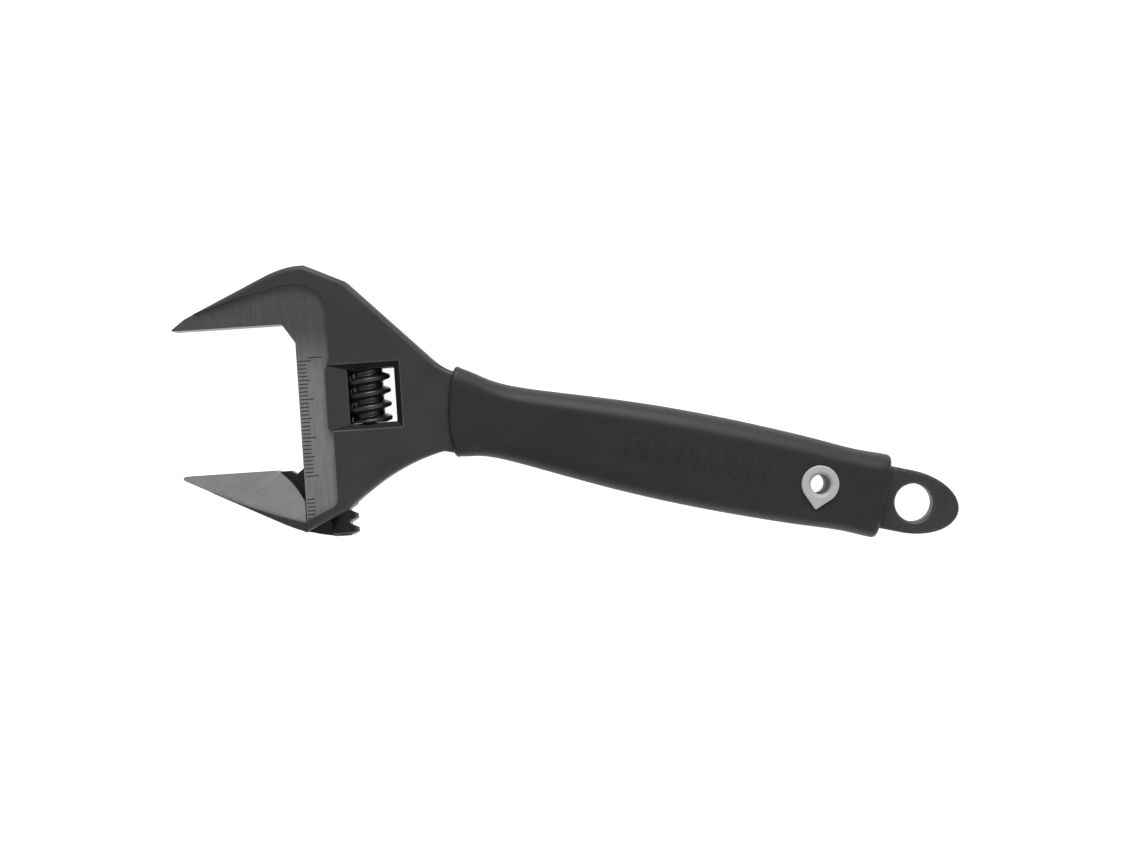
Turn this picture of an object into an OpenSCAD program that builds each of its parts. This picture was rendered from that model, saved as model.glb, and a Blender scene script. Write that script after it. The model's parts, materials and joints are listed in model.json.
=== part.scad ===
// Adjustable wrench, wide opening, with a two-material grip and a lanyard eyelet.
// Millimetres. The origin is the centre of the hanging hole, on the middle plane of the forging.
// +X runs along the handle away from the head, +Y is the side of the fixed jaw, +Z is the front face.
// The jaws are drawn in a frame of their own: its x runs from the guide face towards the handle,
// its y along the guide, and y = 0 is the gripping face of the fixed jaw.

/* [Mouth] */
// Widest opening between the gripping faces
mouth = 38; // [36:0.5:38]
// Length of the fixed jaw, from the guide face to its tip
jaw_reach = 32.1; // [30:0.1:34]
// Angle of the jaws to the handle
jaw_angle = 15; // [14:0.5:16]
// Thickness of the ground jaw faces
ground_t = 9.8; // [9.6:0.1:10.6]

/* [Head] */
// Thickness of the forged head
head_t = 13; // [12.6:0.1:14]
// Width of the window that the worm turns in
window_w = 12.6; // [12.5:0.1:13.4]
// Width of the sloping rim around the window
rim_w = 1.8; // [1:0.1:2]
// Width of the sloping rim beside the ground strip
rim_near = 4.2; // [3.8:0.1:4.3]
// Depth of the sloping rim
rim_deep = 1.3; // [0.6:0.1:1.4]

/* [Worm drive] */
// Pitch of the worm and of the rack
pitch = 3.6; // [3.4:0.1:3.8]
// Outer radius of the worm thread
crest_r = 6.1; // [5.9:0.1:6.2]
// Radius of the worm at the bottom of its thread
root_r = 4.2; // [4.1:0.1:4.3]
// Length of the worm
worm_len = 14; // [13:0.1:14]
// Radius of the pin that the worm turns on
pin_r = 1.98; // [1.95:0.01:2]
// Radial running clearance of the worm on its pin
worm_fit = 0.07; // [0.03:0.01:0.1]
// Radius of the slide that carries the rack
slide_r = 3.82; // [3.78:0.01:3.84]
// Radial running clearance of the slide in its bore
slide_fit = 0.08; // [0.05:0.01:0.1]
// Flank clearance between the rack and the worm
flank_gap = 0.12; // [0.1:0.01:0.16]

/* [Handle] */
// Thickness of the tang
tang_t = 6.5; // [6:0.1:7]
// Radius of the hanging hole
hang_r = 5; // [4.6:0.1:5.2]
// Wall of the soft sleeve
sleeve_wall = 1.6; // [1.4:0.1:1.7]
// Half thickness of the grip at its thickest
grip_half_t = 8; // [7.8:0.1:8.4]
// Roundness of the grip's section, 2 for an ellipse and more for a squarer one
grip_square = 3.2; // [2.8:0.1:3.6]
// Distance of the eyelet from the hanging hole
eyelet_x = 25.5; // [24:0.5:30]
// Radius of the hole through the eyelet
eyelet_r = 2.5; // [2.3:0.1:2.6]
// Radius of the eyelet's flange
flange_r = 4.9; // [4.6:0.1:5.2]

/* [Hidden] */
$fn = 48;
cut = 1; // how far a cutter runs past the face that it opens
steel_grey = [0.28, 0.28, 0.29];
grip_black = [0.18, 0.18, 0.19];

// Where the jaws' own frame lies: the meeting point of the guide face and the fixed gripping face
jaw_origin = [-167.8, 14.6];

// Guide, window and worm, in the jaws' frame
chamfer_x = -3.3;
chamfer_y = -5.1;
guide_end = -54.4;
window_x = 12.6;
window_top = -13;
window_h = 14.2;
well_fit = 0.3; // radial room around the worm where it reaches past the window towards the slide
window_low = window_top - window_h;
window_mid = window_top - window_h / 2;
worm_x = 17.6;
worm_top = window_mid + worm_len / 2;
worm_low = window_mid - worm_len / 2;
worm_bore_r = pin_r + worm_fit;
spring_seat_r = 3.3;
spring_seat = 6;
crest_y = -15.2; // height of the first crest on the handle side

// Slide, rack and slot
slide_x = 9.3;
slide_top = -23.9;
slide_low = -56.2;
slide_chamfer = 0.8;
slide_bore_r = slide_r + slide_fit;
web_t = 4.4;
slot_t = web_t + 0.3;
shoulder_gap = 0.15;
jaw_rib_t = ground_t + 1.6;
ramp_slope = 4.2 / 5.5;
ramp_gap = 0.5;

// Worm thread: half widths at the crest and at the root
crest_half = 0.45;
root_half = 1.25;
flank = (root_half - crest_half) / (crest_r - root_r);
rack_lean = 6.3; // lean of the rack's teeth, which follows the lead of the worm
rack_root_x = worm_x - 6.5;

// Pin and its hole
pin_hole_r = 2;
pin_top = -8;
pin_head_top = -41;
pin_head_low = -43;
pin_head_r = 2.55;

// Coil spring inside the worm
wire_r = 0.3;
coil_r = 2.7;
coils = 5;

// Shank and tang, along the handle
neck_half = 10.35;
neck_low_x = -118.8;
neck_high_x = -122.3;
root_start = -124;
root_end = -112;
liner_start = -118.5;
shank_root_half = 7.5;
shank_root_half_t = 5;
shank_half = 7.2;
tang_start = -12;
tang_half = 8.3;
tang_end = 12;
tang_round = 14;
grip_rear = -8;
eyelet_tube_r = 3.5;
flange_proud = 0.8;
flange_deep = 0.7;

function lerp(a, b, t) = a + (b - a) * t;
function bezier(a, b, c, n) =
    [for (i = [0 : n]) let (t = i / n) (1 - t) * (1 - t) * a + 2 * t * (1 - t) * b + t * t * c];
// A point of the handle's frame, as the jaws' frame sees it
function in_jaws(p) =
    let (d = p - jaw_origin)
    [d[0] * cos(jaw_angle) + d[1] * sin(jaw_angle), d[1] * cos(jaw_angle) - d[0] * sin(jaw_angle)];

// Puts what is drawn in the jaws' frame into its place on the wrench
module jaws_frame() {
    translate([jaw_origin[0], jaw_origin[1], 0])
        rotate([0, 0, jaw_angle])
            children();
}

// A slab of a plan outline, centred on the middle plane
module slab(thick) {
    translate([0, 0, -thick / 2])
        linear_extrude(height = thick)
            children();
}

// A cylinder that runs along the guide, from y = low up to y = high
module along_guide(x, low, high, r, r_high = -1) {
    translate([x, low, 0])
        rotate([-90, 0, 0])
            cylinder(h = high - low, r1 = r, r2 = r_high < 0 ? r : r_high);
}

// ---- Frame: the forging that is head, shank and tang ----

module head_plan() {
    lower_flank = bezier([11.1, -49.3], [23.6, -38.5], in_jaws([-123, -10.5]), 10);
    neck = [in_jaws([neck_low_x, -neck_half]), in_jaws([neck_high_x, neck_half])];
    upper_blend = bezier(in_jaws([-123.5, neck_half]), in_jaws([-127.5, 10.5]), [34.9, -11.3], 5);
    crown = bezier([3.6, 14.9], [-1.5, 15.3], [-8, 12.24], 6);
    polygon(concat(
        [[-jaw_reach, 0], [chamfer_x, 0], [0, chamfer_y], [0, guide_end], [7.5, -51]],
        lower_flank, neck, upper_blend, [[14, 10]], crown,
        [[3.6 - jaw_reach, 2.95], [0.2 - jaw_reach, 0.5]]));
}

// The faces beside the mouth that are ground thinner than the forging
module ground_plan() {
    far = jaw_reach + 10;
    polygon([[-far, -20], [-far, 6], [-26, 4.3], [-12.7, 7.8], [-4.1, 9.6], [0.2, 10.3], [5.1, 8.9],
             [8.5, 5.8], [8.5, -9.8], [7.2, -12.9], [7.2, -28], [8.5, -29.1], [8.5, -46.8],
             [7, -48.4], [-2, -52.4], [-2, -20]]);
}

// Slot in the guide face that the jaw's web runs in
module slot_plan() {
    polygon([[-3, -0.46], [0, 0.4 + ramp_gap], [slide_x, 0.4 + ramp_gap + slide_x * ramp_slope],
             [slide_x, guide_end - 5], [-6, guide_end - 5], [-6, chamfer_y]]);
}

// Sloping rim around the window, on the front face
module window_rim() {
    low = head_t / 2 - rim_deep;
    grow = rim_w * (rim_deep + cut) / rim_deep;
    grow_near = rim_near * (rim_deep + cut) / rim_deep;
    intersection() {
        translate([0, window_low - 10, 0])
            rotate([90, 0, 180])
                mirror([1, 0, 0])
                    linear_extrude(height = window_h + 20)
                        polygon([[window_x, low], [window_x + window_w, low],
                                 [window_x + window_w + grow, low + rim_deep + cut],
                                 [window_x - grow_near, low + rim_deep + cut]]);
        translate([window_x - 10, 0, 0])
            rotate([90, 0, 90])
                linear_extrude(height = window_w + 20)
                    polygon([[window_low, low], [window_top, low],
                             [window_top + grow, low + rim_deep + cut],
                             [window_low - grow, low + rim_deep + cut]]);
    }
}

module window() {
    translate([window_x, window_low, -head_t / 2 - cut])
        cube([window_w, window_h, head_t + 2 * cut]);
    window_rim();
    mirror([0, 0, 1])
        window_rim();
}

module head() {
    difference() {
        slab(head_t)
            head_plan();
        for (side = [0, 1])
            mirror([0, 0, side])
                translate([0, 0, ground_t / 2])
                    linear_extrude(height = head_t)
                        ground_plan();
        slab(slot_t)
            slot_plan();
        window();
        along_guide(worm_x, window_low, window_top, crest_r + well_fit);
        along_guide(slide_x, guide_end - 10, 30, slide_bore_r);
        along_guide(worm_x, guide_end - 10, pin_top + 0.2, pin_hole_r);
        along_guide(worm_x, guide_end - 10, pin_head_top, pin_head_r + 0.05);
    }
}

// A straight length of the shank
module bar(from_x, to_x, half_w, half_t) {
    translate([from_x, -half_w, -half_t])
        cube([to_x - from_x, 2 * half_w, 2 * half_t]);
}

// Neck where it goes under the grip's front lip
module neck_slab(gap) {
    slab(head_t + 2 * gap)
        polygon([[-135, neck_half + gap], [neck_high_x + gap, neck_half + gap],
                 [neck_low_x + gap, -neck_half - gap], [-135, -neck_half - gap]]);
}

// Shank inside the grip: a stout root, a flat bar, and the wider start of the tang
module shank() {
    bar(root_start, root_end, shank_root_half, shank_root_half_t);
    bar(root_end, tang_start, shank_half, tang_t / 2);
    bar(tang_start, 0, tang_half, tang_t / 2);
}

// Rounded end of the tang, behind the grip
module tang() {
    end = [for (a = [-90 : 7.5 : 90]) [tang_end - tang_round + tang_round * cos(a), tang_half * sin(a)]];
    slab(tang_t)
        polygon(concat([[-6, -tang_half]], end, [[-6, tang_half]]));
}

module frame() {
    color(steel_grey)
        difference() {
            union() {
                jaws_frame()
                    head();
                shank();
                tang();
            }
            cylinder(h = head_t, r = hang_r, center = true);
            translate([-eyelet_x, 0, 0])
                cylinder(h = head_t, r = eyelet_tube_r + 0.1, center = true);
        }
}

// ---- Movable jaw, drawn at its widest opening ----

// Back of the jaw: a straight line from the tip, then a round sweep under the slide
function jaw_back(x_end) =
    [for (p = bezier([-6, -52], [2.5, -56.2], [10.1, -56.2], 10)) if (p[0] <= x_end) p];

module jaw_plate_plan() {
    tip = 0.6 - jaw_reach;
    throat = bezier([-shoulder_gap, -8.5], [-3.3, -1.8], [-7.4, 0], 6);
    raised = [for (p = throat) p - [0, mouth]];
    polygon(concat([[tip, -mouth - 0.7], [tip + 0.5, -mouth - 1.15]], jaw_back(-shoulder_gap),
                   [[-shoulder_gap, -54.6]], raised, [[tip + 0.4, -mouth]]));
}

// Thin web that joins the plate to the slide and runs in the frame's slot
module jaw_web_plan() {
    polygon(concat(
        [[-3.55, -mouth - 0.3], [-2.1, -mouth - 1.2], [0, 0.4 - mouth],
         [slide_x, 0.4 - mouth + slide_x * ramp_slope], [slide_x, slide_low]],
        [for (i = [10 : -1 : 0]) let (p = bezier([-6, -52], [2.5, -56.2], [10.1, -56.2], 10)[i])
            if (p[0] < slide_x) p],
        [[-9, -46], [-9, -mouth - 0.3]]));
}

// The ground part of the plate, above the darker rib along its back
module jaw_ground_plan() {
    polygon(concat(bezier([-24, -42.68], [-9, -49.5], [1, -52.2], 8),
                   [[1, -30], [-jaw_reach - 8, -30], [-jaw_reach - 8, -42.68]]));
}

// One groove between two teeth of the rack
module rack_groove(y) {
    out = slide_x + slide_r + cut;
    half_root = pitch / 2 - (pitch / 2 - crest_half - flank_gap) - (6.5 - crest_r) * flank;
    half_out = half_root + (out - rack_root_x) * flank;
    translate([0, y, 0])
        rotate([-rack_lean, 0, 0])
            slab(4 * slide_r)
                polygon([[rack_root_x, -half_root], [out, -half_out],
                         [out, half_out], [rack_root_x, half_root]]);
}

module slide() {
    difference() {
        union() {
            along_guide(slide_x, slide_low + slide_chamfer, slide_top - slide_chamfer, slide_r);
            along_guide(slide_x, slide_top - slide_chamfer, slide_top, slide_r, slide_r - slide_chamfer);
            along_guide(slide_x, slide_low, slide_low + slide_chamfer, slide_r - slide_chamfer, slide_r);
        }
        for (n = [2 : 11])
            rack_groove(crest_y - (n + 0.5) * pitch);
    }
}

module movable_jaw() {
    color(steel_grey)
        jaws_frame() {
            difference() {
                slab(jaw_rib_t)
                    jaw_plate_plan();
                for (side = [0, 1])
                    mirror([0, 0, side])
                        translate([0, 0, ground_t / 2])
                            linear_extrude(height = head_t)
                                jaw_ground_plan();
            }
            slab(web_t)
                jaw_web_plan();
            slide();
        }
}

// ---- Worm, its pin and its spring ----

// Section across the worm: one turn of the thread's flanks laid out around the axis, crest at angle 0
module worm_section() {
    turn = 360 / pitch;
    steps = 4;
    rise = [for (i = [0 : steps]) let (t = i / steps)
        [turn * lerp(-root_half, -crest_half, t), lerp(root_r, crest_r, t)]];
    crest = [for (i = [1 : 3]) [turn * lerp(-crest_half, crest_half, i / 4), crest_r]];
    fall = [for (i = [0 : steps]) let (t = i / steps)
        [turn * lerp(crest_half, root_half, t), lerp(crest_r, root_r, t)]];
    root = [for (i = [1 : 4]) [lerp(turn * root_half, 360 - turn * root_half, i / 5), root_r]];
    polygon([for (p = concat(rise, crest, fall, root)) p[1] * [cos(p[0]), sin(p[0])]]);
}

// Right-hand thread: the section turned evenly along the axis
module worm_thread() {
    translate([worm_x, worm_low, 0])
        rotate([-90, 0, 0])
            rotate([0, 0, (worm_low - crest_y) * 360 / pitch])
                linear_extrude(height = worm_len, twist = -360 * worm_len / pitch, slices = 70, $fn = 6)
                    worm_section();
}

module worm() {
    color(steel_grey)
        jaws_frame()
            difference() {
                worm_thread();
                along_guide(worm_x, worm_low - cut, worm_top + cut, worm_bore_r);
                along_guide(worm_x, worm_low - cut, worm_low + spring_seat, spring_seat_r);
            }
}

// Screwed pin with a slotted head, let into the lower edge of the frame
module worm_pin() {
    color("dimgray")
        jaws_frame()
            difference() {
                union() {
                    along_guide(worm_x, pin_head_top - cut, pin_top, pin_r);
                    along_guide(worm_x, pin_head_low, pin_head_top, pin_head_r);
                }
                translate([worm_x, pin_head_low, 0])
                    cube([0.8, 1.6, 4 * pin_head_r], center = true);
            }
}

// Coil spring that takes up the worm's end play
module worm_spring() {
    sides = 6;
    per_turn = 16;
    rings = coils * per_turn;
    low = worm_low + wire_r;
    rise = spring_seat - 2 * wire_r - 0.2;
    points = [for (i = [0 : rings]) let (a = 360 * i / per_turn, y = low + rise * i / rings)
        for (k = [0 : sides - 1]) let (b = 360 * k / sides, r = coil_r + wire_r * cos(b))
            [r * cos(a), y + wire_r * sin(b), -r * sin(a)]];
    wall = [for (i = [0 : rings - 1]) for (k = [0 : sides - 1])
        let (a = sides * i + k, b = sides * i + (k + 1) % sides)
            each [[a, b + sides, b], [a, a + sides, b + sides]]];
    caps = [[for (k = [0 : sides - 1]) k], [for (k = [sides - 1 : -1 : 0]) sides * rings + k]];
    color("silver")
        jaws_frame()
            translate([worm_x, 0, 0])
                polyhedron(points, concat(wall, caps));
}

// ---- Grip: a hard liner moulded on the shank, and a soft sleeve over it ----

grip_sides = 24;
// Each station of the grip: place along the handle, half width, half thickness as a share of the
// thickest, squareness as a multiple of the grip's own, and the shift of its middle along Y
grip_stations = [[-122.5, 11.15, 0.965, 2.2, 0.3], [-121.7, 11.6, 0.99, 2.2, 0.3],
                 [-118.8, 11, 0.97, 1.8, 0.1], [-114, 10, 0.91, 1.3, 0], [-109, 9.7, 0.87, 1.1, 0],
                 [-102, 10, 0.88, 1, 0], [-90, 10.9, 0.93, 1, 0], [-78, 11.7, 0.97, 1, 0],
                 [-66, 12.15, 1, 1, 0], [-54, 12.25, 1, 1, 0], [-42, 12.05, 0.99, 1, 0],
                 [-30, 11.6, 0.97, 1, 0], [-18, 10.9, 0.95, 1, 0], [-10, 11.1, 0.96, 1, 0],
                 [-8.8, 11, 0.95, 1, 0], [grip_rear, 10.3, 0.88, 1, 0]];
// How much of the front edge's slant a station keeps
function slant_share(x) = max(0, min(1, (-104 - x) / 18));
// The front edge leans forward on the fixed jaw's side and bulges in the middle
function front_slant(y) = let (t = y / 11.3) -2.4 * t - 1.6 * (1 - t * t) + 0.3;
function grip_point(s, inset, k) =
    let (a = 360 * k / grip_sides, half_w = s[1] - inset, half_t = s[2] * grip_half_t - inset,
         c = cos(a), d = sin(a), e = 2 / (grip_square * s[3]),
         y = half_w * sign(c) * pow(abs(c), e) + s[4], z = half_t * sign(d) * pow(abs(d), e))
    [s[0] + slant_share(s[0]) * front_slant(y), y, z];
function grip_rings(inset) =
    [for (s = grip_stations) for (k = [0 : grip_sides - 1]) grip_point(s, inset, k)];
function ring_wall(rings, start, outward) =
    [for (i = [0 : rings - 2]) for (k = [0 : grip_sides - 1])
        let (a = start + grip_sides * i + k, b = start + grip_sides * i + (k + 1) % grip_sides,
             c = a + grip_sides, d = b + grip_sides)
            each (outward ? [[a, b, d], [a, d, c]] : [[a, d, b], [a, c, d]])];

module grip_tube() {
    rings = len(grip_stations);
    inner = rings * grip_sides;
    ends = [for (k = [0 : grip_sides - 1])
        let (m = (k + 1) % grip_sides, last = (rings - 1) * grip_sides)
            each [[k, inner + m, m], [k, inner + k, inner + m],
                  [last + k, last + m, inner + last + m], [last + k, inner + last + m, inner + last + k]]];
    polyhedron(concat(grip_rings(0), grip_rings(sleeve_wall)),
               concat(ring_wall(rings, 0, true), ring_wall(rings, inner, false), ends));
}

module grip_core() {
    rings = len(grip_stations);
    last = (rings - 1) * grip_sides;
    ends = [for (k = [1 : grip_sides - 2]) each [[0, k + 1, k], [last, last + k, last + k + 1]]];
    polyhedron(grip_rings(sleeve_wall), concat(ring_wall(rings, 0, true), ends));
}

// Drop-shaped outline of the eyelet's flange, with its point towards the moving jaw's side
module drop_plan(grow = 0) {
    r = flange_r + grow;
    tip = 6.6 + grow;
    lean = acos(r / (tip + 0.6));
    union() {
        circle(r = r);
        polygon([[-r * sin(lean), -r * cos(lean)], [-0.6, -tip + 0.4], [-0.3, -tip], [0.3, -tip],
                 [0.6, -tip + 0.4], [r * sin(lean), -r * cos(lean)], [0, 0]]);
    }
}

flange_top = 0.955 * grip_half_t + flange_proud;
flange_low = flange_top - flange_proud - flange_deep;

module eyelet_space() {
    translate([-eyelet_x, 0, 0]) {
        cylinder(h = 4 * grip_half_t, r = eyelet_tube_r + 0.05, center = true);
        for (side = [0, 1])
            mirror([0, 0, side])
                translate([0, 0, flange_low])
                    linear_extrude(height = grip_half_t)
                        drop_plan(0.05);
    }
}

module grip_liner() {
    color("dimgray")
        difference() {
            intersection() {
                grip_core();
                bar(liner_start, grip_rear - 0.2, 20, 20);
            }
            shank();
            eyelet_space();
        }
}

module grip_sleeve() {
    color(grip_black)
        difference() {
            difference() {
                grip_tube();
                neck_slab(0.05);
            }
            eyelet_space();
        }
}

// Half of the lanyard eyelet: a drop-shaped flange and half of the tube
module eyelet_half() {
    translate([-eyelet_x, 0, 0])
        difference() {
            union() {
                translate([0, 0, flange_low])
                    linear_extrude(height = flange_top - flange_low)
                        drop_plan();
                cylinder(h = flange_low + 0.1, r = eyelet_tube_r);
            }
            translate([0, 0, -cut])
                cylinder(h = 2 * grip_half_t, r = eyelet_r);
            translate([0, 0, flange_top - 0.8])
                cylinder(h = 0.9, r1 = eyelet_r, r2 = eyelet_r + 0.9);
        }
}

module eyelet_front() {
    color("silver")
        eyelet_half();
}

module eyelet_back() {
    color("silver")
        mirror([0, 0, 1])
            eyelet_half();
}

frame();
movable_jaw();
worm();
worm_pin();
worm_spring();
grip_liner();
grip_sleeve();
eyelet_front();
eyelet_back();
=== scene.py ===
"""Adjustable wrench with a wide mouth, a two-material grip and a lanyard eyelet.

Every piece is built in metres in the wrench's own frame: +X runs along the handle away from the
head, +Y is the side of the fixed jaw and +Z is the front face. Sizes of the head are given in
millimetres in the jaws' own frame, whose x runs from the guide face towards the handle and whose
y runs along the guide, with y = 0 on the gripping face of the fixed jaw.
"""

import json
import logging
import math
from collections.abc import Callable
from dataclasses import dataclass, field
from enum import Enum

import bmesh
import bpy
from mathutils import Matrix, Vector

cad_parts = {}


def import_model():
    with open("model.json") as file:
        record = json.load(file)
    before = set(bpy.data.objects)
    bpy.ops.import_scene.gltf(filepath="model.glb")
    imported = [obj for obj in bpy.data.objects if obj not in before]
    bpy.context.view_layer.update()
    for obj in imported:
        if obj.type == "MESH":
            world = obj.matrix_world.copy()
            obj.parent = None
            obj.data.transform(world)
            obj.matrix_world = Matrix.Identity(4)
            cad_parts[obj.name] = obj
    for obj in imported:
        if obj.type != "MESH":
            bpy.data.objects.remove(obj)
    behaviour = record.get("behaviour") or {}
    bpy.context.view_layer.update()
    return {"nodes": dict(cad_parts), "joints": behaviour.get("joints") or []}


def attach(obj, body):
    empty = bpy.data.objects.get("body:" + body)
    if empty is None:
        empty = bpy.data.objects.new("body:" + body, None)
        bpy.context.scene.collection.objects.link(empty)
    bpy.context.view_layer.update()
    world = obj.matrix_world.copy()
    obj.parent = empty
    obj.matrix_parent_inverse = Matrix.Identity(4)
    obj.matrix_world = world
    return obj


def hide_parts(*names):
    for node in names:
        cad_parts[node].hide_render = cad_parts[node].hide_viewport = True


MM = 0.001
# turns a bar that stands along Z so that it lies along the guide
ALONG_GUIDE = Matrix.Rotation(math.radians(-90), 4, "X")

Piece = bpy.types.Object
Mesh = bmesh.types.BMesh
Material = bpy.types.Material
NodeTree = bpy.types.NodeTree
Socket = bpy.types.NodeSocket
Point = tuple[float, float]
Tone = tuple[float, float, float]

LOG = logging.getLogger("wrench")


class Body(Enum):
    """Rigid bodies of the wrench that a piece can ride on."""

    FRAME = "frame_body"
    JAW = "jaw_body"
    WORM = "worm_body"


class Slot(Enum):
    """Material slots of the record that a piece takes its finish from."""

    FORGED = "forged_steel"
    JAW = "jaw_steel"
    WORM = "worm_steel"
    PIN = "pin_steel"
    SPRING = "spring_steel"
    RUBBER = "soft_rubber"
    EYELET = "grey_plastic"


class Boolean(Enum):
    """How a second solid changes a piece."""

    DIFFERENCE = "DIFFERENCE"
    UNION = "UNION"


# ---------------------------------------------------------------- small helpers


def clamp(value: float, low: float = 0.0, high: float = 1.0) -> float:
    """Keep a value between two limits."""
    return max(low, min(high, value))


def ease(value: float) -> float:
    """Smooth step from 0 to 1."""
    t = clamp(value)
    return t * t * (3 - 2 * t)


def interpolate(stations: tuple[tuple[float, float], ...], x: float) -> float:
    """Read a smooth curve through stations at x.

    Args:
        stations: Pairs of place and value, in rising order of place.
        x: Where the curve is read.

    Returns:
        The value of a Catmull-Rom curve through the stations, held flat beyond its ends.
    """
    if x <= stations[0][0]:
        return stations[0][1]
    if x >= stations[-1][0]:
        return stations[-1][1]
    i = max(k for k in range(len(stations) - 1) if stations[k][0] <= x)
    (x0, y0), (x1, y1) = stations[i], stations[i + 1]
    before = stations[max(i - 1, 0)]
    after = stations[min(i + 2, len(stations) - 1)]
    span = x1 - x0
    slope0 = (y1 - before[1]) / (x1 - before[0])
    slope1 = (after[1] - y0) / (after[0] - x0)
    t = (x - x0) / span
    return (
        (2 * t**3 - 3 * t**2 + 1) * y0
        + (t**3 - 2 * t**2 + t) * span * slope0
        + (3 * t**2 - 2 * t**3) * y1
        + (t**3 - t**2) * span * slope1
    )


@dataclass(frozen=True)
class JawSpace:
    """The jaws' own frame, placed on the wrench."""

    axis: Vector
    origin_mm: tuple[float, float] = (-167.8, 14.6)

    @property
    def matrix(self) -> Matrix:
        """Transform from jaw millimetres to wrench metres.

        Returns:
            The transform.
        """
        turn = math.atan2(-self.axis.x, self.axis.y)
        place = Matrix.Translation((self.origin_mm[0] * MM, self.origin_mm[1] * MM, 0))
        return place @ Matrix.Rotation(turn, 4, "Z") @ Matrix.Scale(MM, 4)

    @property
    def guide_start(self) -> float:
        """Place of the fixed gripping face along the guide's direction, in metres."""
        x, y = self.origin_mm
        return (y * math.cos(self.angle) - x * math.sin(self.angle)) * MM

    @property
    def angle(self) -> float:
        """Angle of the jaws to the handle, in radians."""
        return math.atan2(-self.axis.x, self.axis.y)


def piece_from(bm: Mesh, name: str) -> Piece:
    """Turn a finished bmesh into an object at the origin.

    Args:
        bm: The mesh, in metres; it is freed.
        name: Name of the piece.

    Returns:
        The new object, linked to the scene.
    """
    mesh = bpy.data.meshes.new(name)
    bm.to_mesh(mesh)
    bm.free()
    piece = bpy.data.objects.new(name, mesh)
    bpy.context.scene.collection.objects.link(piece)
    return piece


def cad_copy(node: Piece) -> Mesh:
    """Copy a CAD node's mesh, merged and with its flat faces made whole.

    Args:
        node: The CAD node's object.

    Returns:
        A bmesh in metres.
    """
    bm = bmesh.new()
    bm.from_mesh(node.data)
    bmesh.ops.remove_doubles(bm, verts=bm.verts, dist=0.002 * MM)
    flat = {"angle_limit": math.radians(0.6), "use_dissolve_boundaries": False}
    bmesh.ops.dissolve_limit(bm, verts=bm.verts, edges=bm.edges, **flat)
    bmesh.ops.recalc_face_normals(bm, faces=bm.faces)
    return bm


def absorb(target: Mesh, part: Mesh) -> None:
    """Add one bmesh to another.

    Args:
        target: The mesh that grows.
        part: The mesh that is added; it is freed.
    """
    mesh = bpy.data.meshes.new("part")
    part.to_mesh(mesh)
    part.free()
    target.from_mesh(mesh)
    bpy.data.meshes.remove(mesh)


def raise_faces(bm: Mesh, height: float) -> None:
    """Extrude every face of a flat bmesh straight up.

    Args:
        bm: The mesh being built.
        height: How far up.
    """
    made = bmesh.ops.extrude_face_region(bm, geom=bm.faces[:])
    top = [item for item in made["geom"] if isinstance(item, bmesh.types.BMVert)]
    bmesh.ops.translate(bm, verts=top, vec=(0, 0, height))


def bake(piece: Piece) -> None:
    """Replace a piece's mesh with what its modifiers make of it.

    Args:
        piece: The piece.
    """
    bpy.context.view_layer.update()
    shown = piece.evaluated_get(bpy.context.evaluated_depsgraph_get())
    result = bpy.data.meshes.new_from_object(shown)
    piece.modifiers.clear()
    old = piece.data
    piece.data = result
    bpy.data.meshes.remove(old)


def cut(piece: Piece, cutter: Piece, mode: Boolean = Boolean.DIFFERENCE) -> None:
    """Apply an exact boolean to a piece and remove the cutter.

    Args:
        piece: The piece that keeps the result.
        cutter: The other solid.
        mode: Whether the solid is taken away or added.
    """
    step = piece.modifiers.new("cut", "BOOLEAN")
    step.operation = mode.value
    step.solver = "EXACT"
    step.object = cutter
    bake(piece)
    bpy.data.objects.remove(cutter)


def smooth(piece: Piece, sharp_degrees: float = 38.0) -> None:
    """Shade a piece smooth, with its sharp edges kept."""
    piece.data.shade_smooth()
    piece.data.set_sharp_from_angle(angle=math.radians(sharp_degrees))


def soften(
    piece: Piece, width: float, segments: int = 3, edge_wear_and_highlight: int = -1, sharp_degrees: float = 32.0
) -> None:
    """Round a piece's outward sharp edges with a live bevel, and even out its shading.

    Args:
        piece: The piece.
        width: Bevel width in metres.
        segments: Segments across a rounded edge.
        edge_wear_and_highlight: Index of the material that the rounded edges take, a lighter steel
            that is partly rubbed wear and partly painted edge highlight, or -1 to keep their own.
        sharp_degrees: Least angle between two faces for their edge to be rounded.
    """
    bm = bmesh.new()
    bm.from_mesh(piece.data)
    bmesh.ops.remove_doubles(bm, verts=bm.verts, dist=0.00002)
    bm.normal_update()
    layers = bm.edges.layers.float
    layer = layers.get("bevel_weight_edge") or layers.new("bevel_weight_edge")
    least = math.radians(sharp_degrees)
    for edge in bm.edges:
        outward = edge.is_manifold and edge.is_convex
        edge[layer] = 1.0 if outward and edge.calc_face_angle() > least else 0.0
    bm.to_mesh(piece.data)
    bm.free()
    bevel = piece.modifiers.new("rounding", "BEVEL")
    bevel.width = width
    bevel.segments = segments
    bevel.profile = 0.5
    bevel.limit_method = "WEIGHT"
    bevel.use_clamp_overlap = False
    bevel.material = edge_wear_and_highlight
    even = piece.modifiers.new("even_shading", "WEIGHTED_NORMAL")
    even.keep_sharp = True
    even.weight = 60


def dress(piece: Piece, finishes: list[Material]) -> None:
    """Give a piece its materials, in slot order.

    Args:
        piece: The piece.
        finishes: The materials, in slot order.
    """
    piece.data.materials.clear()
    for finish in finishes:
        piece.data.materials.append(finish)


def settle(piece: Piece, body: Body, replaced: str | None = None) -> None:
    """Fix a piece to its body and the CAD node that it stands for.

    Args:
        piece: The piece.
        body: The rigid body.
        replaced: CAD node that the piece stands for, if any.
    """
    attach(piece, body.value)
    if replaced:
        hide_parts(replaced)
    LOG.info("%s rides on %s", piece.name, body.value)


# ---------------------------------------------------------------- shader helpers


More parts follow.
